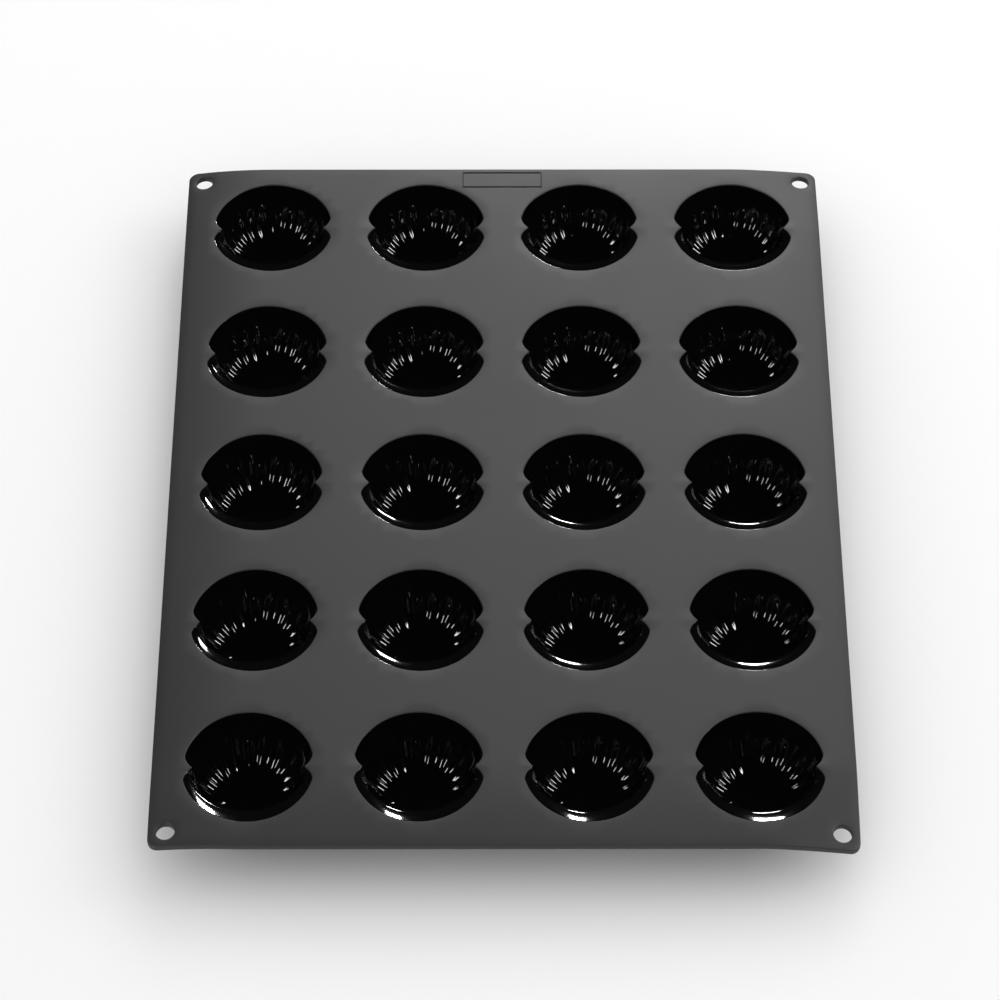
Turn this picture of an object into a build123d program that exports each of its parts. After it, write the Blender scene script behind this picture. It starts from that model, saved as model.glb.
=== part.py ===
from build123d import *
import math
import os

# Flexible chestnut tartlet mould: a thin sheet that carries twenty ridged, chestnut-shaped cups.
# The sheet lies flat and level. Each cup hangs below one opening of it and stands on a small flat foot.
# Millimetres, +Z up, +Y away from the viewer, origin at the middle of the plane that the feet stand on.

# Overall size
SHEET_WIDTH = 300.0  # across the four columns
SHEET_LENGTH = 400.0  # along the five rows
SHEET_THICKNESS = 3.0
SHEET_CORNER_RADIUS = 7.0
MOULD_HEIGHT = 30.0  # from the feet to the top of the sheet

# Corner holes
HOLE_RADIUS = 4.0
HOLE_EDGE_X = 7.5  # hole centre to the side edge
HOLE_EDGE_Y = 7.5  # hole centre to the end edge

# Plain raised frame on the far margin
FRAME_WIDTH = 38.0
FRAME_DEPTH = 10.5
FRAME_LINE = 0.6
FRAME_RAISE = 0.4
FRAME_EDGE = 7.5  # middle of the frame to the far edge

# Grid of cups
COLUMNS = 4
ROWS = 5
SIDE_MARGIN = 41.25  # side edge to the middle of the first column
END_MARGIN = 40.0  # end edge to the middle of the first row

# Mouth of a cup, two round lobes that meet at a sharp notch on each side
FAR_LOBE_RADIUS = 27.6
FAR_LOBE_CENTRE = 1.3
NEAR_LOBE_RADIUS = 28.1
NEAR_LOBE_CENTRE = -0.2
NOTCH_HALF_WIDTH = 23.9
NOTCH_SPREAD = 14.0  # degrees of arc that each notch takes from its lobe
NOTCH_SHARPNESS = 1.5
LOBE_STEPS = 14  # facets on each lobe

# Bowl of a cup
CUP_WALL = 2.0
FLOOR_SHARE = 0.2  # floor against mouth
BULGE = 2.3  # how full the bowl stays before it turns in to its floor
FLOOR_SHIFT = 2.0  # middle of the floor, away from the viewer
RIDGE_TOP_DEPTH = 14.0  # where the ridges have risen to their full height
RIDGE_MIDDLE_DEPTH = 19.5
RIDGE_END_DEPTH = 24.5  # where the ridges start to run out on the floor
RIDGE_HEIGHT = 1.1

# Near lobe of a cup, a smooth crescent that ends in a stepped crease
CREASE_DEPTH = 7.5
CREASE_INSET = 8.5
STEP_DEPTH = 2.2
STEP_INSET = 1.0

# Outside of a cup
FOOT_SHARE = 0.36  # foot against mouth
WAIST_DEPTH = 16.0  # where the outside turns in to the foot

# Worked-out values
HALF_TURN = 180.0
CAVITY_DEPTH = MOULD_HEIGHT - CUP_WALL
SHEET_UNDERSIDE = MOULD_HEIGHT - SHEET_THICKNESS
COLUMN_PITCH = (SHEET_WIDTH - 2 * SIDE_MARGIN) / (COLUMNS - 1)
ROW_PITCH = (SHEET_LENGTH - 2 * END_MARGIN) / (ROWS - 1)
HOLE_SPACING_X = SHEET_WIDTH - 2 * HOLE_EDGE_X
HOLE_SPACING_Y = SHEET_LENGTH - 2 * HOLE_EDGE_Y
STEPPED_DEPTH = CREASE_DEPTH + STEP_DEPTH
STEPPED_INSET = CREASE_INSET + STEP_INSET


def mouth_reach(angle):
    """Distance from the middle of the notch line to the edge of the mouth, at an angle in degrees."""
    far_side = angle % (2 * HALF_TURN) <= HALF_TURN
    radius = FAR_LOBE_RADIUS if far_side else NEAR_LOBE_RADIUS
    centre = FAR_LOBE_CENTRE if far_side else NEAR_LOBE_CENTRE
    turn = math.radians(angle)
    reach = centre * math.sin(turn) + math.sqrt(radius**2 - (centre * math.cos(turn)) ** 2)
    from_notch = min(angle % HALF_TURN, HALF_TURN - angle % HALF_TURN)
    if from_notch < NOTCH_SPREAD:
        taken = math.sqrt(radius**2 - centre**2) - NOTCH_HALF_WIDTH
        reach -= taken * (1 - from_notch / NOTCH_SPREAD) ** NOTCH_SHARPNESS
    return reach


def mouth_angles():
    """Angles of the mouth's corners in degrees, closer together beside the two notches."""
    beside = (0.0, NOTCH_SPREAD / 3, NOTCH_SPREAD)
    between = LOBE_STEPS - 2 * (len(beside) - 1)
    open_arc = HALF_TURN - 2 * NOTCH_SPREAD
    lobe = list(beside)
    lobe += [NOTCH_SPREAD + open_arc * step / between for step in range(1, between)]
    lobe += [HALF_TURN - angle for angle in reversed(beside[1:])]
    return lobe + [HALF_TURN + angle for angle in lobe]


def nearness(angle):
    """How far an angle lies into the near lobe, 0 on the far lobe and the notches, 1 in its middle."""
    return math.sqrt(max(0.0, -math.sin(math.radians(angle))))


def corner(angle, reach, depth):
    """Point of a cup at a depth below the top of the sheet."""
    shift = FLOOR_SHIFT * ((depth - SHEET_THICKNESS) / SHEET_UNDERSIDE) ** 2
    turn = math.radians(angle)
    return (reach * math.cos(turn), shift + reach * math.sin(turn), MOULD_HEIGHT - depth)


def bowl_reach(angle, depth, inset=0.0):
    """Distance from the middle to the bowl's wall, where inset draws in the near lobe."""
    share = (1 - (depth / CAVITY_DEPTH) ** BULGE) ** (1 / BULGE)
    share = FLOOR_SHARE + (1 - FLOOR_SHARE) * share
    return share * (mouth_reach(angle) - inset * nearness(angle))


def smooth_ring(depth, inset=0.0, thickness=0.0):
    """Corners of a bowl without ridges at one depth."""
    return [corner(angle, bowl_reach(angle, depth, inset) + thickness, depth) for angle in mouth_angles()]


def ridged_ring(depth):
    """Corners of the ridged wall at one depth, a groove at each mouth angle and a crest between."""
    grooves = mouth_angles()
    ring = []
    for groove, following in zip(grooves, grooves[1:] + [2 * HALF_TURN]):
        crest = (groove + following) / 2
        height = RIDGE_HEIGHT * (1 - nearness(crest))
        ring.append(corner(groove, bowl_reach(groove, depth, STEPPED_INSET), depth))
        ring.append(corner(crest, bowl_reach(crest, depth, STEPPED_INSET) - height, depth))
    return ring


def even_ring(share, depth):
    """Corners of a plain scaled mouth at one depth."""
    return [corner(angle, share * mouth_reach(angle), depth) for angle in mouth_angles()]


def facet(*points):
    """One flat face through three points or more."""
    return Face(Wire.make_polygon(points, close=True))


def wall_between(ring, other):
    """Flat three-cornered faces between two rings, where other has as many corners or twice as many."""
    faces = []
    stride = len(other) // len(ring)
    for index, start in enumerate(ring):
        end = ring[(index + 1) % len(ring)]
        run = [other[(index * stride + step) % len(other)] for step in range(stride + 1)]
        faces.append(facet(start, end, run[-1]))
        for first, second in zip(run, run[1:]):
            faces.append(facet(start, second, first))
    return faces


def cup_faces():
    """All faces of one cup, down its ridged bowl and up its outside to the seat below the sheet."""
    mouth = even_ring(1.0, SHEET_THICKNESS)
    seat = [corner(a, mouth_reach(a) + CUP_WALL, SHEET_THICKNESS) for a in mouth_angles()]
    inside = [mouth, smooth_ring(CREASE_DEPTH, CREASE_INSET), smooth_ring(STEPPED_DEPTH, STEPPED_INSET)]
    ridged = [ridged_ring(depth) for depth in (RIDGE_TOP_DEPTH, RIDGE_MIDDLE_DEPTH, RIDGE_END_DEPTH)]
    floor = even_ring(FLOOR_SHARE, CAVITY_DEPTH)
    outside = [seat, smooth_ring(WAIST_DEPTH, 0.0, CUP_WALL), even_ring(FOOT_SHARE, MOULD_HEIGHT)]
    faces = [facet(*floor), facet(*outside[-1])]
    faces.append(Face(Wire.make_polygon(seat, close=True), [Wire.make_polygon(mouth, close=True)]))
    for upper, lower in zip(inside, inside[1:]):
        faces += wall_between(upper, lower)
    faces += wall_between(inside[-1], ridged[0])
    for upper, lower in zip(ridged, ridged[1:]):
        faces += wall_between(upper, lower)
    faces += wall_between(floor, ridged[-1])
    for upper, lower in zip(outside, outside[1:]):
        faces += wall_between(upper, lower)
    return faces


def make_sheet():
    """The flat sheet with its rounded corners, corner holes and one opening over each cup."""
    opening = [point[:2] for point in even_ring(1.0, SHEET_THICKNESS)]
    with BuildPart() as sheet:
        with BuildSketch(Plane.XY.offset(SHEET_UNDERSIDE)):
            RectangleRounded(SHEET_WIDTH, SHEET_LENGTH, SHEET_CORNER_RADIUS)
            with GridLocations(HOLE_SPACING_X, HOLE_SPACING_Y, 2, 2):
                Circle(HOLE_RADIUS, mode=Mode.SUBTRACT)
            with GridLocations(COLUMN_PITCH, ROW_PITCH, COLUMNS, ROWS):
                Polygon(*opening, align=None, mode=Mode.SUBTRACT)
        extrude(amount=SHEET_THICKNESS)
        with BuildSketch(Plane.XY.offset(MOULD_HEIGHT)):
            with Locations((0, SHEET_LENGTH / 2 - FRAME_EDGE)):
                Rectangle(FRAME_WIDTH, FRAME_DEPTH)
                Rectangle(FRAME_WIDTH - 2 * FRAME_LINE, FRAME_DEPTH - 2 * FRAME_LINE, mode=Mode.SUBTRACT)
        extrude(amount=FRAME_RAISE)
    return sheet


def make_cup(body, x, y):
    """One cup below the opening at x, y."""
    with BuildPart() as cup:
        with Locations((x, y)):
            add(body)
    return cup


os.makedirs("parts", exist_ok=True)

flange_sheet = make_sheet()
flange_sheet.part.label = "flange_sheet"
export_step(flange_sheet.part, "parts/flange_sheet.step")

cup_body = Solid(Shell(cup_faces()))
for row in range(ROWS):
    for column in range(COLUMNS):
        place_x = (column - (COLUMNS - 1) / 2) * COLUMN_PITCH
        place_y = ((ROWS - 1) / 2 - row) * ROW_PITCH
        cup = make_cup(cup_body, place_x, place_y)
        cup.part.label = f"cup_row{row + 1}_col{column + 1}"
        export_step(cup.part, f"parts/{cup.part.label}.step")
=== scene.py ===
"""Looks of a flexible chestnut tartlet mould: black silicone, satin on its sheet, polished in its cups."""
import logging
import math
import random
from dataclasses import dataclass, field
from enum import Enum
from functools import partial

import bpy
import numpy as np
from mathutils import Matrix, Vector
from mathutils.geometry import delaunay_2d_cdt

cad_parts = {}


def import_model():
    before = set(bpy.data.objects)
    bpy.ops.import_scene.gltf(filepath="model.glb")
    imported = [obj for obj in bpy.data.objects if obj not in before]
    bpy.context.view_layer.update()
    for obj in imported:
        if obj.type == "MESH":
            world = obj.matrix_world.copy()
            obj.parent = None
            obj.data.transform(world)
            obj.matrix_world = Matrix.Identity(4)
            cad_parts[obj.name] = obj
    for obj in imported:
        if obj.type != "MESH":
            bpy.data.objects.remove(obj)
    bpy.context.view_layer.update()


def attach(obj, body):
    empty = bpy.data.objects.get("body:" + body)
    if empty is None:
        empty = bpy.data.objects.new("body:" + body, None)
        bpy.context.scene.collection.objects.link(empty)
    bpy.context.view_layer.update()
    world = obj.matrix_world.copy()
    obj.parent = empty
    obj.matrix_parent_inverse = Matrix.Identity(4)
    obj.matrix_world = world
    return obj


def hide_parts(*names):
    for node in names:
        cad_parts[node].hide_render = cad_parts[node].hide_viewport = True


MM = 0.001
HALF_TURN = 180.0
FULL_TURN = 360.0
SRGB_KNEE = 0.04045
SRGB_SLOPE = 12.92
SRGB_OFFSET = 0.055
SRGB_POWER = 2.4
MIX_FACTOR, MIX_FIRST, MIX_SECOND, MIX_RESULT = 0, 6, 7, 2  # colour sockets of Blender's Mix node
LEAST_LENGTH = 1e-9  # keeps a division clear of zero, as LEAST_RISE does
LEAST_RISE = 1e-12
LOG = logging.getLogger("chestnut_mould")


class Edge(Enum):
    """Which way the sheet's edge is rounded: an opening widens upwards, the border draws in."""

    OPENING = 1
    BORDER = -1


class Seen(Enum):
    """What a soft box does: a strip shows only as a reflection, a bank only lights matt surfaces."""

    STRIP = "reflection"
    BANK = "matt light"


def linear_from_hex(code: str) -> tuple[float, float, float, float]:
    """Turn an sRGB hex colour into linear RGBA.

    Args:
        code: Six hex digits after a hash.

    Returns:
        Linear red, green, blue and an alpha of one.
    """
    channels = [int(code[i : i + 2], 16) / 255 for i in (1, 3, 5)]
    linear = [c / SRGB_SLOPE if c <= SRGB_KNEE else ((c + SRGB_OFFSET) / (1 + SRGB_OFFSET)) ** SRGB_POWER
              for c in channels]
    return (*linear, 1.0)


def smoothstep(low: float, high: float, value: np.ndarray) -> np.ndarray:
    """Ease from 0 at low to 1 at high.

    Args:
        low: Value where the rise starts.
        high: Value where it ends.
        value: Values to ease.

    Returns:
        Shares from 0 to 1.
    """
    share = np.clip((value - low) / (high - low), 0.0, 1.0)
    return share * share * (3.0 - 2.0 * share)


def add_node(tree: bpy.types.NodeTree, kind: str, settings: dict | None = None,
             values: dict | None = None, links: dict | None = None) -> bpy.types.Node:
    """Add one shader node with its settings, socket values and incoming links.

    Args:
        tree: Node tree that gets the node.
        kind: Blender's name of the node type.
        settings: Attributes of the node.
        values: Socket values by socket name or index.
        links: Sockets that feed this node, by socket name or index.

    Returns:
        The new node.
    """
    made = tree.nodes.new(kind)
    for name, value in (settings or {}).items():
        setattr(made, name, value)
    for name, value in (values or {}).items():
        made.inputs[name].default_value = value
    for name, socket in (links or {}).items():
        tree.links.new(socket, made.inputs[name])
    return made


def add_noise(tree: bpy.types.NodeTree, place: bpy.types.NodeSocket, size_mm: float,
              detail: float) -> bpy.types.NodeSocket:
    """Add a noise pattern whose scale comes from a real size.

    Args:
        tree: Node tree that gets the pattern.
        place: Coordinates that the pattern follows.
        size_mm: Size of one feature in millimetres.
        detail: How many finer layers it has.

    Returns:
        The pattern's value.
    """
    return add_node(tree, "ShaderNodeTexNoise", values={"Scale": 1 / (size_mm * MM), "Detail": detail},
                    links={"Vector": place}).outputs["Fac"]


def new_material(name: str) -> tuple[bpy.types.Material, bpy.types.NodeTree, bpy.types.Node]:
    """Start a material.

    Args:
        name: Name of the material.

    Returns:
        The material, its node tree and its shader.
    """
    material = bpy.data.materials.new(name)
    material.use_nodes = True
    return material, material.node_tree, material.node_tree.nodes["Principled BSDF"]


def add_roughness(tree: bpy.types.NodeTree, shader: bpy.types.Node, pattern: bpy.types.NodeSocket,
                  middle: float, spread: float) -> None:
    """Let a pattern vary a shader's roughness.

    Args:
        tree: Node tree that gets the nodes.
        shader: Shader whose roughness varies.
        pattern: Pattern from 0 to 1.
        middle: Roughness in the middle of the pattern.
        spread: How far the roughness goes to each side of it.
    """
    rough = add_node(tree, "ShaderNodeMapRange", links={"Value": pattern},
                     values={"To Min": middle - spread, "To Max": middle + spread})
    tree.links.new(rough.outputs["Result"], shader.inputs["Roughness"])


def add_bump(tree: bpy.types.NodeTree, shader: bpy.types.Node, pattern: bpy.types.NodeSocket,
             strength: float, depth_mm: float) -> None:
    """Let a pattern bend the light on a shader's surface.

    Args:
        tree: Node tree that gets the nodes.
        shader: Shader of the surface.
        pattern: Pattern from 0 to 1.
        strength: Share of the pattern's full effect.
        depth_mm: Height of the pattern in millimetres.
    """
    bump = add_node(tree, "ShaderNodeBump", values={"Strength": strength, "Distance": depth_mm * MM},
                    links={"Height": pattern})
    tree.links.new(bump.outputs["Normal"], shader.inputs["Normal"])


def new_object(name: str, data: bpy.types.ID) -> bpy.types.Object:
    """Make an object and link it to the scene.

    Args:
        name: Name of the object.
        data: Mesh, light or camera that it shows.

    Returns:
        The new object.
    """
    made = bpy.data.objects.new(name, data)
    bpy.context.scene.collection.objects.link(made)
    return made


@dataclass(frozen=True)
class SatinSilicone:
    """Black silicone rubber with a fine matt skin, as a blasted steel tool gives, that looks dark grey."""

    colour: str = "#1f1f20"
    bloom: str = "#252526"  # slightly paler patches, so that the sheet isn't one flat tone
    roughness: float = 0.57
    roughness_spread: float = 0.04
    ior: float = 1.41  # cured silicone rubber
    sheen_level: float = 0.75  # above a plain skin's 0.5, raised to come near the photograph's grey
    grain_mm: float = 0.9  # coarser than a blasted tool's own grain, so that it shows
    grain_depth_mm: float = 0.012
    grain_strength: float = 0.25
    grain_layers: float = 2.0
    bloom_mm: float = 70.0
    bloom_layers: float = 3.0

    def build(self) -> bpy.types.Material:
        """Make the sheet's material.

        Returns:
            The material.
        """
        material, tree, shader = new_material("blasted_black_silicone")
        place = add_node(tree, "ShaderNodeTexCoord").outputs["Object"]
        cloud = add_noise(tree, place, self.bloom_mm, self.bloom_layers)
        grain = add_noise(tree, place, self.grain_mm, self.grain_layers)
        mix = add_node(tree, "ShaderNodeMix", {"data_type": "RGBA"},
                       {MIX_FIRST: linear_from_hex(self.colour), MIX_SECOND: linear_from_hex(self.bloom)},
                       {MIX_FACTOR: cloud})
        tree.links.new(mix.outputs[MIX_RESULT], shader.inputs["Base Color"])
        add_roughness(tree, shader, cloud, self.roughness, self.roughness_spread)
        add_bump(tree, shader, grain, self.grain_strength, self.grain_depth_mm)
        shader.inputs["IOR"].default_value = self.ior
        shader.inputs["Specular IOR Level"].default_value = self.sheen_level
        return material


@dataclass(frozen=True)
class PolishedSilicone:
    """The same rubber with a smooth skin, as a polished core gives: deep black with sharp reflections."""

    colour: str = "#080808"
    roughness: float = 0.06
    roughness_spread: float = 0.02
    ior: float = 1.41  # cured silicone rubber
    ripple_mm: float = 4.0  # slow waves that bend the reflections a little
    ripple_depth_mm: float = 0.04
    ripple_strength: float = 0.3
    ripple_layers: float = 1.0

    def build(self) -> bpy.types.Material:
        """Make the cups' material.

        Returns:
            The material.
        """
        material, tree, shader = new_material("polished_black_silicone")
        place = add_node(tree, "ShaderNodeTexCoord").outputs["Object"]
        ripple = add_noise(tree, place, self.ripple_mm, self.ripple_layers)
        add_roughness(tree, shader, ripple, self.roughness, self.roughness_spread)
        add_bump(tree, shader, ripple, self.ripple_strength, self.ripple_depth_mm)
        shader.inputs["Base Color"].default_value = linear_from_hex(self.colour)
        shader.inputs["IOR"].default_value = self.ior
        return material


@dataclass(frozen=True)
class PaintedBoard:
    """Matt white painted board: pale, with almost no sheen of its own."""

    colour: str = "#f4f4f4"
    roughness: float = 0.9
    sheen_level: float = 0.1

    def build(self) -> bpy.types.Material:
        """Make the floor's material.

        Returns:
            The material.
        """
        material, _, shader = new_material("matt_white_board")
        shader.inputs["Base Color"].default_value = linear_from_hex(self.colour)
        shader.inputs["Roughness"].default_value = self.roughness
        shader.inputs["Specular IOR Level"].default_value = self.sheen_level
        return material


@dataclass(frozen=True)
class Droop:
    """How the soft sheet hangs past its outer cups, with a twist of its own at each corner. All in mm."""

    side_start: float = 112.0
    end_start: float = 160.0
    half_width: float = 150.0
    half_length: float = 200.0
    sheet_underside: float = 27.0
    left: float = 3.0
    right: float = 1.5
    far: float = 1.0
    near: float = 2.7
    far_left: float = 0.4
    far_right: float = 1.7
    near_left: float = -1.8
    near_right: float = 3.0

    def lower(self, points: np.ndarray) -> np.ndarray:
        """Lower points by the droop, in full at the sheet and not at all at the feet.

        Args:
            points: Array of x, y, z in millimetres.

        Returns:
            The lowered points.
        """
        x, y, z = points.T
        side = np.clip(np.abs(x) - self.side_start, 0, None) / (self.half_width - self.side_start)
        end = np.clip(np.abs(y) - self.end_start, 0, None) / (self.half_length - self.end_start)
        left, near = x < 0, y < 0
        corner = np.where(near, np.where(left, self.near_left, self.near_right),
                          np.where(left, self.far_left, self.far_right))
        drop = np.where(left, self.left, self.right) * side**2 + np.where(near, self.near, self.far) * end**2
        drop = drop + corner * side * end
        return np.column_stack([x, y, z - drop * np.clip(z / self.sheet_underside, 0, 1)])


def make_piece(name: str, points: np.ndarray, faces: list, material: bpy.types.Material,
               nodes: tuple[str, ...] = ()) -> bpy.types.Object:
    """Make one smooth-shaded mesh piece that rides on the mould and stands for CAD nodes.

    Args:
        name: Name of the piece.
        points: Corners in millimetres.
        faces: Corner numbers of each face.
        material: Finish of the piece.
        nodes: CAD nodes that the piece stands for.

    Returns:
        The new object.
    """
    mesh = bpy.data.meshes.new(name)
    mesh.from_pydata((points * MM).tolist(), [], faces)
    mesh.materials.append(material)
    mesh.shade_smooth()
    mesh.update()
    piece = new_object(name, mesh)
    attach(piece, "root")
    if nodes:
        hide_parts(*nodes)
    LOG.info("%s: %d corners, %d faces", name, len(points), len(faces))
    return piece


def band(upper: list[int], lower: list[int], flip: bool = False) -> list[tuple[int, ...]]:
    """Four-cornered faces between two closed rows of corners.

    Args:
        upper: Corner numbers of one row.
        lower: Corner numbers of the other row, as many.
        flip: Whether the faces look the other way.

    Returns:
        The faces.
    """
    faces = []
    for step, corner in enumerate(upper):
        after = (step + 1) % len(upper)
        quad = (corner, upper[after], lower[after], lower[step])
        faces.append(quad[::-1] if flip else quad)
    return faces


@dataclass(frozen=True)
class Ridge:
    """One wrinkle of the nut's body: degrees round the cup, height in millimetres, shares of its length."""

    angle: float
    lean: float
    width: float
    height: float
    start: float
    end: float


@dataclass
class Cup:
    """One chestnut-shaped cup: a ridged bowl with a smooth, shallow crescent on its near side.

    Lengths are in millimetres and angles in degrees. A ridge's stray, lean and width are shares of the
    step from one ridge to the next, and its start, end, rise and fade are shares of the way down the bowl.
    """

    far_radius: float = 27.6
    far_centre: float = 1.3
    near_radius: float = 28.1
    near_centre: float = -0.2
    notch_half_width: float = 23.9
    notch_spread: float = 14.0
    notch_sharpness: float = 1.5
    depth: float = 28.0
    sheet_top: float = 30.0
    sheet_underside: float = 27.0
    wall: float = 2.0
    floor_share: float = 0.2
    bulge: float = 2.3
    floor_shift: float = 2.0
    rim_round: float = 0.5
    rim_lap: float = 0.03  # so that no two skins coincide
    shelf_depth: float = 2.0
    shelf_inset: float = 6.4
    shelf_hollow: float = 1.4
    crease_step: float = 0.35
    bowl_inset: float = 9.5
    bowl_depth: float = 9.7
    corners: int = 256
    even_share: float = 0.45  # of the meridians' spacing, the other share gathers them at the notches
    gathered_share: float = 0.55
    shelf_rows: int = 9
    shelf_gather: float = 1.2
    crease_rows: tuple[float, ...] = (0.3, 0.65, 1.0)  # shares of the crease's step
    upper_rows: int = 12
    lower_rows: int = 36
    row_gap: float = 0.6
    outside_stride: int = 2  # the plain outside has every other row
    ridge_count: int = 19
    ridge_first: float = -38.0
    ridge_last: float = 218.0
    ridge_top: float = 7.5
    ridge_stray: float = 0.14
    ridge_lean: tuple[float, float] = (0.04, 0.24)
    ridge_width: tuple[float, float] = (0.27, 0.36)
    ridge_height: tuple[float, float] = (0.8, 1.25)
    ridge_start: tuple[float, float] = (0.0, 0.12)
    ridge_end: tuple[float, float] = (0.8, 0.98)
    ridge_rise: float = 0.28
    ridge_fade: float = 0.4
    seed: int = 11
    ridges: list[Ridge] = field(default_factory=list)

    def __post_init__(self) -> None:
        """Draw the ridges once, the same for every cup."""
        draw = random.Random(self.seed)
        step = (self.ridge_last - self.ridge_first) / self.ridge_count
        for index in range(self.ridge_count):
            side = 1 if index % 2 else -1
            stray = draw.uniform(-self.ridge_stray, self.ridge_stray)
            self.ridges.append(Ridge(
                angle=self.ridge_first + (index + 0.5 + stray) * step,
                lean=side * draw.uniform(*self.ridge_lean) * step,
                width=draw.uniform(*self.ridge_width) * step,
                height=draw.uniform(*self.ridge_height),
                start=draw.uniform(*self.ridge_start),
                end=draw.uniform(*self.ridge_end)))

    def angles(self) -> np.ndarray:
        """Angles of the meridians in degrees, closer together beside the notches.

        Returns:
            As many angles as the cup has corners round its rim.
        """
        share = np.linspace(0, 1, self.corners // 4 + 1)
        eased = HALF_TURN / 2 * (self.even_share * share + self.gathered_share * share**2)
        lobe = np.concatenate([eased, HALF_TURN - eased[-2:0:-1]])
        return np.concatenate([lobe, HALF_TURN + lobe])

    def mouth(self, angle: np.ndarray) -> np.ndarray:
        """Reach of the mouth at each angle.

        Args:
            angle: Angles in degrees.

        Returns:
            Distances from the middle of the notch line.
        """
        far = (angle % FULL_TURN) <= HALF_TURN
        radius = np.where(far, self.far_radius, self.near_radius)
        centre = np.where(far, self.far_centre, self.near_centre)
        turn = np.radians(angle)
        reach = centre * np.sin(turn) + np.sqrt(radius**2 - (centre * np.cos(turn)) ** 2)
        from_notch = np.minimum(angle % HALF_TURN, HALF_TURN - angle % HALF_TURN)
        taken = np.sqrt(radius**2 - centre**2) - self.notch_half_width
        return reach - taken * np.clip(1 - from_notch / self.notch_spread, 0, 1) ** self.notch_sharpness

    def outline(self, middle: tuple[float, float], grown: float = 0.0) -> np.ndarray:
        """Outline of the mouth round a middle, moved outwards by a distance.

        Args:
            middle: Middle of the cup.
            grown: Distance outwards from the mouth.

        Returns:
            Corners in the plane of the sheet.
        """
        angle = self.angles()
        reach = self.mouth(angle) + grown
        turn = np.radians(angle)
        return np.stack([reach * np.cos(turn), reach * np.sin(turn)], axis=1) + np.array(middle)

    def rows(self) -> np.ndarray:
        """Depths of the rows, closer together on the crescent, at its crease and where the ridges rise.

        Returns:
            Depths below the top of the sheet, from the rim to the floor.
        """
        gathered = np.linspace(0, 1, self.shelf_rows) ** self.shelf_gather
        shelf = self.rim_round + (self.shelf_depth - self.rim_round) * gathered
        crease = self.shelf_depth + self.crease_step * np.array(self.crease_rows)
        upper = np.linspace(self.shelf_depth + 2 * self.crease_step, self.bowl_depth, self.upper_rows)
        start = math.asin(((self.bowl_depth + self.row_gap) / self.depth) ** (self.bulge / 2))
        turn = np.linspace(start, math.pi / 2, self.lower_rows)
        return np.concatenate([shelf, crease, upper, self.depth * np.sin(turn) ** (2 / self.bulge)])

    def near_inset(self, depth: np.ndarray) -> np.ndarray:
        """How far the middle of the near lobe is drawn in at each depth.

        Args:
            depth: Depths below the top of the sheet.

        Returns:
            Distances inwards from the mouth.
        """
        down = np.clip((depth - self.rim_round) / (self.shelf_depth - self.rim_round), 0, 1)
        shelf = self.shelf_inset * (1 - (1 - down) ** (1 / self.shelf_hollow))
        crease = self.shelf_depth + self.crease_step
        below = np.clip((depth - crease) / (self.bowl_depth - self.shelf_depth), 0, 1)
        return shelf + (self.bowl_inset - self.shelf_inset) * np.sin(below * math.pi / 2)

    def share_at(self, depth: np.ndarray) -> np.ndarray:
        """Reach of the bowl at each depth, as a share of the mouth's.

        Args:
            depth: Depths below the top of the sheet.

        Returns:
            Shares from 1 at the mouth to the floor's share.
        """
        full = np.clip(1 - (depth / self.depth) ** self.bulge, 0, 1) ** (1 / self.bulge)
        return self.floor_share + (1 - self.floor_share) * full

    def bowl(self, depth: np.ndarray, angle: np.ndarray, inset: np.ndarray) -> tuple[np.ndarray, np.ndarray]:
        """Points of a bowl without ridges.

        Args:
            depth: Depths of the rows.
            angle: Angles of the meridians.
            inset: How far the near lobe is drawn in on each row.

        Returns:
            Points by row and meridian, and each point's reach from the middle.
        """
        near = np.sqrt(np.clip(-np.sin(np.radians(angle)), 0, None))
        drawn = self.mouth(angle)[None, :] - self.rim_lap - inset[:, None] * near[None, :]
        reach = self.share_at(depth)[:, None] * drawn
        sink = np.clip((depth - self.sheet_top + self.sheet_underside) / self.sheet_underside, 0, None)
        x = reach * np.cos(np.radians(angle))
        y = reach * np.sin(np.radians(angle)) + self.floor_shift * sink[:, None] ** 2
        z = np.broadcast_to(self.sheet_top - depth[:, None], x.shape)
        return np.stack([x, y, z], axis=-1), reach

    def normals(self, points: np.ndarray) -> np.ndarray:
        """Unit normals of a grid of rows and meridians, pointing into the bowl.

        Args:
            points: Points by row and meridian.

        Returns:
            One normal for each point.
        """
        along = np.roll(points, -1, axis=1) - np.roll(points, 1, axis=1)
        normal = np.cross(along, np.gradient(points, axis=0))
        return normal / np.maximum(np.linalg.norm(normal, axis=-1, keepdims=True), LEAST_LENGTH)

    def relief(self, depth: np.ndarray, angle: np.ndarray, reach: np.ndarray) -> np.ndarray:
        """Height of the ridges above the plain bowl at each point.

        Args:
            depth: Depths of the rows.
            angle: Angles of the meridians.
            reach: Reach of each point.

        Returns:
            Heights in millimetres.
        """
        way = (depth[:, None] - self.ridge_top) / (self.depth - self.ridge_top)
        inward = 1 - reach / reach[0]
        along = np.clip(0.5 * way + 0.5 * inward, 0, 1)
        height = np.zeros_like(reach)
        for ridge in self.ridges:
            centre = ridge.angle + ridge.lean * (1 - 2 * along)
            apart = (angle[None, :] - centre + HALF_TURN) % FULL_TURN - HALF_TURN
            rise = smoothstep(ridge.start, ridge.start + self.ridge_rise, along)
            fade = 1 - smoothstep(ridge.end - self.ridge_fade, ridge.end, along)
            height += ridge.height * rise * fade * np.exp(-((apart / ridge.width) ** 2))
        return height

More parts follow.
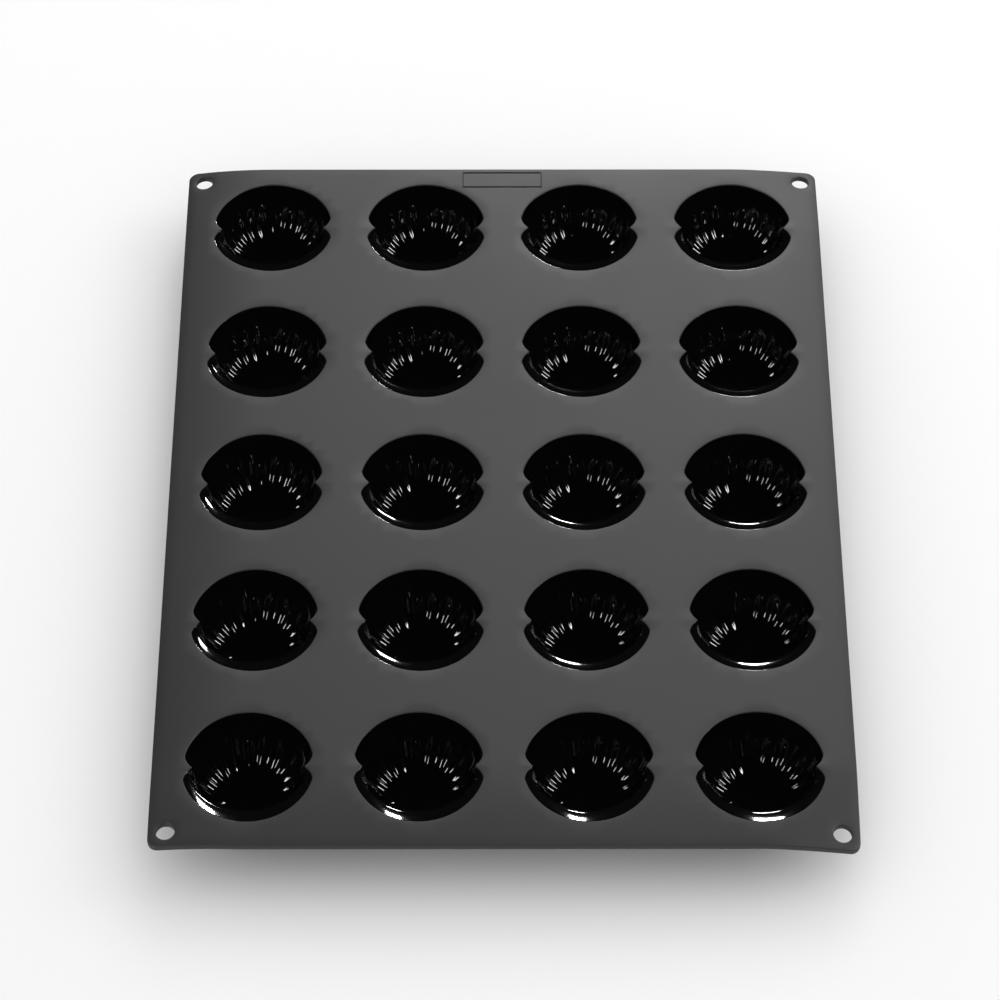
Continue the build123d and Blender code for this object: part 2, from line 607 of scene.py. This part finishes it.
    def meshed(self) -> tuple[np.ndarray, list]:
        """Corners and faces of one closed cup around its own middle.

        Returns:
            Corners in millimetres, and the faces.
        """
        depth, angle = self.rows(), self.angles()
        plain, reach = self.bowl(depth, angle, self.near_inset(depth))
        inner = plain + self.normals(plain) * self.relief(depth, angle, reach)[..., None]
        even, _ = self.bowl(depth, angle, np.zeros_like(depth))
        outer = even - self.normals(even) * self.wall
        outer = outer[depth >= self.sheet_top - self.sheet_underside][:: self.outside_stride]
        outer[0, :, 2] = self.sheet_underside
        outer[-1, :, 2] = 0.0
        outer[..., 2] = np.clip(outer[..., 2], 0.0, self.sheet_underside)
        floor = np.array([[0.0, self.floor_shift, self.sheet_top - self.depth]])
        foot = np.array([[0.0, self.floor_shift, 0.0]])
        corners = np.concatenate([inner.reshape(-1, 3), floor, outer.reshape(-1, 3), foot])
        count = len(angle)
        faces = []
        base = 0
        for grid, outside in ((inner, False), (outer, True)):
            lines = [list(range(base + row * count, base + (row + 1) * count)) for row in range(len(grid))]
            for upper, lower in zip(lines, lines[1:]):
                faces += band(upper, lower, flip=outside)
            pole = base + len(grid) * count
            for a, b in zip(lines[-1], lines[-1][1:] + lines[-1][:1]):
                faces.append((b, a, pole) if outside else (a, b, pole))
            base = pole + 1
        seat = len(inner) * count + 1
        faces += band(list(range(count)), list(range(seat, seat + count)), flip=True)
        return corners, faces


@dataclass
class Sheet:
    """The thin sheet that carries the cups, with rounded corners and corner holes. Lengths are in mm."""

    width: float = 300.0
    length: float = 400.0
    thickness: float = 3.0
    top: float = 30.0
    corner_radius: float = 4.5
    corner_steps: int = 12
    hole_radius: float = 4.0
    hole_edge: float = 7.5
    hole_corners: int = 40
    edge_round: float = 0.5
    edge_steps: int = 4
    grid_step: float = 5.0
    grid_clear: float = 1.5
    least_area: float = 1e-4

    def border(self, grown: float = 0.0) -> np.ndarray:
        """Outline of the sheet, moved outwards by a distance.

        Args:
            grown: Distance outwards.

        Returns:
            Corners in the plane of the sheet.
        """
        radius = self.corner_radius + grown
        turns = []
        half_x, half_y = self.width / 2 - self.corner_radius, self.length / 2 - self.corner_radius
        for sx, sy, start in ((1, 1, 0), (-1, 1, 90), (-1, -1, 180), (1, -1, 270)):
            middle = np.array([sx * half_x, sy * half_y])
            turn = np.radians(start + np.linspace(0, 90, self.corner_steps + 1))
            turns.append(middle + radius * np.stack([np.cos(turn), np.sin(turn)], axis=1))
        spans = (self.width - 2 * self.corner_radius, self.length - 2 * self.corner_radius) * 2
        points = []
        for index, (arc, span) in enumerate(zip(turns, spans)):
            following = turns[(index + 1) % len(turns)][0]
            points.append(arc)
            share = np.linspace(0, 1, int(span / self.grid_step) + 1)[1:-1, None]
            points.append(arc[-1] + (following - arc[-1]) * share)
        return np.concatenate(points)

    def hole_middles(self) -> list[tuple[float, float]]:
        """Middles of the four corner holes.

        Returns:
            Places in the plane of the sheet.
        """
        x, y = self.width / 2 - self.hole_edge, self.length / 2 - self.hole_edge
        return [(-x, -y), (-x, y), (x, -y), (x, y)]

    def hole(self, middle: tuple[float, float], grown: float = 0.0) -> np.ndarray:
        """Outline of one corner hole, moved outwards by a distance.

        Args:
            middle: Middle of the hole.
            grown: Distance outwards.

        Returns:
            Corners in the plane of the sheet.
        """
        turn = np.radians(np.linspace(0, FULL_TURN, self.hole_corners, endpoint=False))
        ring = np.stack([np.cos(turn), np.sin(turn)], axis=1)
        return ring * (self.hole_radius + grown) + np.array(middle)

    def grid_lines(self, span: float) -> np.ndarray:
        """Places of the mesh's grid lines across a span, clear of its ends.

        Args:
            span: Full width or length of the sheet.

        Returns:
            Distances from the middle.
        """
        return np.arange(-span / 2 + self.grid_step, span / 2 - self.grid_step / 2, self.grid_step)

    def flat_faces(self, outer: np.ndarray, inners: list[np.ndarray]) -> tuple[np.ndarray, list]:
        """Triangles of the flat sheet between its border and its openings.

        Args:
            outer: Outline of the flat part.
            inners: Outlines of the openings in it.

        Returns:
            Corners in the plane of the sheet, the outlines' own first, and the faces.
        """
        loops, points = [], []
        for ring in [outer, *inners]:
            loops.append(list(range(len(points), len(points) + len(ring))))
            points += [tuple(point) for point in ring]
        edges = [(a, b) for loop in loops for a, b in zip(loop, loop[1:] + loop[:1])]
        clear = []
        for ring in inners:
            middle = ring.mean(axis=0)
            clear.append((middle, np.linalg.norm(ring - middle, axis=1).max()))
        for x in self.grid_lines(self.width):
            for y in self.grid_lines(self.length):
                if all(math.dist((x, y), middle) > reach + self.grid_clear for middle, reach in clear):
                    points.append((x, y))
        inside_only, tolerance = 1, 1e-7
        places = [Vector(point) for point in points]
        found = delaunay_2d_cdt(places, edges, [loops[0]], inside_only, tolerance, True)
        corners = np.array([tuple(corner) for corner in found[0]])
        faces = []
        for face in found[2]:
            a, b, c = corners[list(face)]
            area = ((b[0] - a[0]) * (c[1] - a[1]) - (b[1] - a[1]) * (c[0] - a[0])) / 2
            middle = (a + b + c) / 3
            holed = any(math.dist(middle, at) < reach and inside(middle, ring)
                        for (at, reach), ring in zip(clear, inners))
            if abs(area) > self.least_area and not holed:
                faces.append(tuple(face) if area > 0 else tuple(reversed(face)))
        return corners, faces

    def edge_profile(self) -> list[tuple[float, float]]:
        """How the sheet's edge is rounded above and below.

        Returns:
            Distance outwards from the edge and height of each row between the flat top and underside.
        """
        upper = []
        for bend in np.radians(np.linspace(0, 90, self.edge_steps + 1)[1:]):
            away, sunk = 1 - math.sin(bend), 1 - math.cos(bend)
            upper.append((self.edge_round * away, self.top - self.edge_round * sunk))
        mirror = 2 * self.top - self.thickness
        return upper + [(away, mirror - height) for away, height in reversed(upper)]


def inside(point: np.ndarray, ring: np.ndarray) -> bool:
    """Whether a point lies in a closed outline.

    Args:
        point: Place in the plane.
        ring: Corners of the outline.

    Returns:
        True inside.
    """
    x, y = point
    x0, y0 = ring[:, 0], ring[:, 1]
    x1, y1 = np.roll(x0, -1), np.roll(y0, -1)
    spans = (y0 > y) != (y1 > y)
    cross = x0 + (y - y0) * (x1 - x0) / np.where(y1 == y0, LEAST_RISE, y1 - y0)
    return bool(np.count_nonzero(spans & (x < cross)) % 2)


@dataclass(frozen=True)
class FrameMark:
    """Plain raised frame on the far margin."""

    width: float = 38.0
    depth: float = 10.5
    line: float = 0.6
    raised: float = 0.4
    edge: float = 7.5
    sunk: float = 0.2
    soft: float = 0.1
    shoulder_share: float = 0.7
    steps: int = 24

    def rings(self, sheet: Sheet) -> list[np.ndarray]:
        """Rings of corners round the frame's rounded section.

        Args:
            sheet: The sheet that carries the frame.

        Returns:
            Rings of corners in millimetres.
        """
        middle = sheet.length / 2 - self.edge
        shoulder = self.raised * self.shoulder_share
        rise = [(0.0, -self.sunk), (self.soft, shoulder), (2 * self.soft, self.raised)]
        section = rise + [(self.line - inset, height) for inset, height in reversed(rise)]
        rings = []
        for inset, height in section:
            w, d = self.width / 2 - inset, self.depth / 2 - inset
            corner = np.array([(-w, -d), (w, -d), (w, d), (-w, d)])
            share = np.linspace(0, 1, self.steps, endpoint=False)[:, None]
            sides = [a + (b - a) * share for a, b in zip(corner, np.roll(corner, -1, axis=0))]
            flat = np.concatenate(sides) + np.array([0.0, middle])
            rings.append(np.column_stack([flat, np.full(len(flat), sheet.top + height)]))
        return rings


@dataclass
class Mould:
    """The whole mould: the sheet and its grid of cups."""

    sheet: Sheet = field(default_factory=Sheet)
    cup: Cup = field(default_factory=Cup)
    droop: Droop = field(default_factory=Droop)
    mark: FrameMark = field(default_factory=FrameMark)
    columns: int = 4
    rows: int = 5
    column_pitch: float = 72.5
    row_pitch: float = 80.0

    def places(self) -> dict[str, tuple[float, float]]:
        """Middle of each cup by the name of its CAD node.

        Returns:
            Places in the plane of the sheet.
        """
        found = {}
        for row in range(self.rows):
            for column in range(self.columns):
                x = (column - (self.columns - 1) / 2) * self.column_pitch
                y = ((self.rows - 1) / 2 - row) * self.row_pitch
                found[f"cup_row{row + 1}_col{column + 1}"] = (x, y)
        return found

    def build_cups(self, material: bpy.types.Material) -> None:
        """Make the cups, each in the place of its CAD node.

        Args:
            material: Finish of the cups.
        """
        corners, faces = self.cup.meshed()
        for name, (x, y) in self.places().items():
            points = self.droop.lower(corners + np.array([x, y, 0.0]))
            make_piece(f"{name}_shell", points, faces, material, (name,))

    def build_sheet(self, material: bpy.types.Material) -> None:
        """Make the sheet, with rounded rims at its border, its holes and its openings.

        Args:
            material: Finish of the sheet.
        """
        sheet = self.sheet
        loops = [(Edge.BORDER, sheet.border)]
        loops += [(Edge.OPENING, partial(sheet.hole, at)) for at in sheet.hole_middles()]
        loops += [(Edge.OPENING, partial(self.cup.outline, at)) for at in self.places().values()]
        tops = [outline(edge.value * sheet.edge_round) for edge, outline in loops]
        flat, flat_faces = sheet.flat_faces(tops[0], tops[1:])
        count = len(flat)
        levels = (sheet.top, sheet.top - sheet.thickness)
        points = [np.column_stack([flat, np.full(count, height)]) for height in levels]
        faces = flat_faces + [tuple(corner + count for corner in reversed(face)) for face in flat_faces]
        base, start = 2 * count, 0
        for (edge, outline), top in zip(loops, tops):
            size = len(top)
            lines = [list(range(start, start + size))]
            for away, height in sheet.edge_profile():
                points.append(np.column_stack([outline(edge.value * away), np.full(size, height)]))
                lines.append(list(range(base, base + size)))
                base += size
            lines.append(list(range(count + start, count + start + size)))
            for upper, lower in zip(lines, lines[1:]):
                faces += band(upper, lower, flip=edge is Edge.BORDER)
            start += size
        make_piece("sheet_skin", self.droop.lower(np.concatenate(points)), faces, material,
                   ("flange_sheet",))

    def build_frame_mark(self, material: bpy.types.Material) -> None:
        """Make the plain raised frame on the far margin.

        Args:
            material: Finish of the frame.
        """
        rings = self.mark.rings(self.sheet)
        size = len(rings[0])
        lines = [list(range(index * size, (index + 1) * size)) for index in range(len(rings))]
        faces = []
        for upper, lower in zip(lines, lines[1:] + lines[:1]):
            faces += band(upper, lower)
        make_piece("frame_mark", self.droop.lower(np.concatenate(rings)), faces, material)

    def build(self) -> None:
        """Make and dress every piece of the mould."""
        satin = SatinSilicone().build()
        self.build_sheet(satin)
        self.build_frame_mark(satin)
        self.build_cups(PolishedSilicone().build())


@dataclass(frozen=True)
class SoftBox:
    """One soft box aimed at the mould. Its azimuth turns from the far side to the right."""

    name: str
    azimuth: float
    elevation: float
    distance: float  # metres
    width: float  # metres
    height: float  # metres
    power: float  # watts
    seen: Seen = Seen.STRIP

    def build(self) -> None:
        """Hang the soft box."""
        data = bpy.data.lights.new(self.name, "AREA")
        data.shape = "RECTANGLE"
        data.size, data.size_y = self.width, self.height
        data.energy = self.power
        light = new_object(self.name, data)
        turn, rise = math.radians(self.azimuth), math.radians(self.elevation)
        away = Vector((math.cos(rise) * math.sin(turn), math.cos(rise) * math.cos(turn), math.sin(rise)))
        light.location = away * self.distance
        light.rotation_euler = (-away).to_track_quat("-Z", "Y").to_euler()
        light.visible_glossy = self.seen is Seen.STRIP
        light.visible_diffuse = self.seen is Seen.BANK


@dataclass(frozen=True)
class Studio:
    """White floor, soft boxes and the camera of the photograph's view."""

    camera_place: tuple[float, float, float] = (-4.8, -1274.0, 1489.0)  # mm
    elevation: float = 49.114
    azimuth: float = 0.153
    roll: float = 0.07
    focal_px: float = 4313.0
    frame_px: float = 1000.0
    sensor_mm: float = 36.0
    near_clip: float = 0.05
    far_clip: float = 50.0
    floor_half: float = 6.0
    room_light: float = 0.89
    boxes: tuple[SoftBox, ...] = (
        SoftBox("far_bank", 10.0, 38.0, 2.4, 1.3, 1.1, 11.0, Seen.BANK),
        SoftBox("right_bank", 72.0, 36.0, 2.4, 1.3, 1.1, 8.0, Seen.BANK),
        SoftBox("far_strip", 8.0, 32.0, 2.2, 0.2, 0.18, 26.0),
        SoftBox("right_strip", 97.0, 38.0, 2.0, 0.5, 0.6, 34.0),
        SoftBox("front_strip", 225.0, 26.0, 2.0, 0.35, 0.8, 20.0),
    )

    def add_camera(self) -> None:
        """Place the camera and make it the scene's."""
        data = bpy.data.cameras.new("camera")
        data.sensor_width = self.sensor_mm
        data.lens = self.focal_px * self.sensor_mm / self.frame_px
        data.clip_start, data.clip_end = self.near_clip, self.far_clip
        camera = new_object("camera", data)
        turn = Matrix.Rotation(math.radians(-self.azimuth), 4, "Z")
        tilt = Matrix.Rotation(math.radians(HALF_TURN / 2 - self.elevation), 4, "X")
        roll = Matrix.Rotation(math.radians(self.roll), 4, "Z")
        camera.matrix_world = Matrix.Translation(Vector(self.camera_place) * MM) @ turn @ tilt @ roll
        bpy.context.scene.camera = camera

    def add_floor(self) -> None:
        """Lay the floor that the feet stand on."""
        half = self.floor_half
        mesh = bpy.data.meshes.new("floor")
        corners = [(-half, -half, 0), (half, -half, 0), (half, half, 0), (-half, half, 0)]
        mesh.from_pydata(corners, [], [(0, 1, 2, 3)])
        mesh.materials.append(PaintedBoard().build())
        floor = new_object("floor", mesh)

    def add_room(self) -> None:
        """Fill the room with an even light that only matt surfaces catch."""
        world = bpy.data.worlds.new("studio")
        world.use_nodes = True
        world.node_tree.nodes["Background"].inputs["Color"].default_value = (1, 1, 1, 1)
        world.node_tree.nodes["Background"].inputs["Strength"].default_value = self.room_light
        world.cycles_visibility.glossy = False
        bpy.context.scene.world = world

    def build(self) -> None:
        """Set up the camera, floor and lights."""
        self.add_camera()
        self.add_floor()
        self.add_room()
        for box in self.boxes:
            box.build()
        bpy.context.scene.view_settings.view_transform = "Standard"


def main() -> None:
    """Build the mould and its studio."""
    logging.basicConfig(level=logging.INFO, format="%(message)s")
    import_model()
    Mould().build()
    Studio().build()


if __name__ == "__main__":
    main()
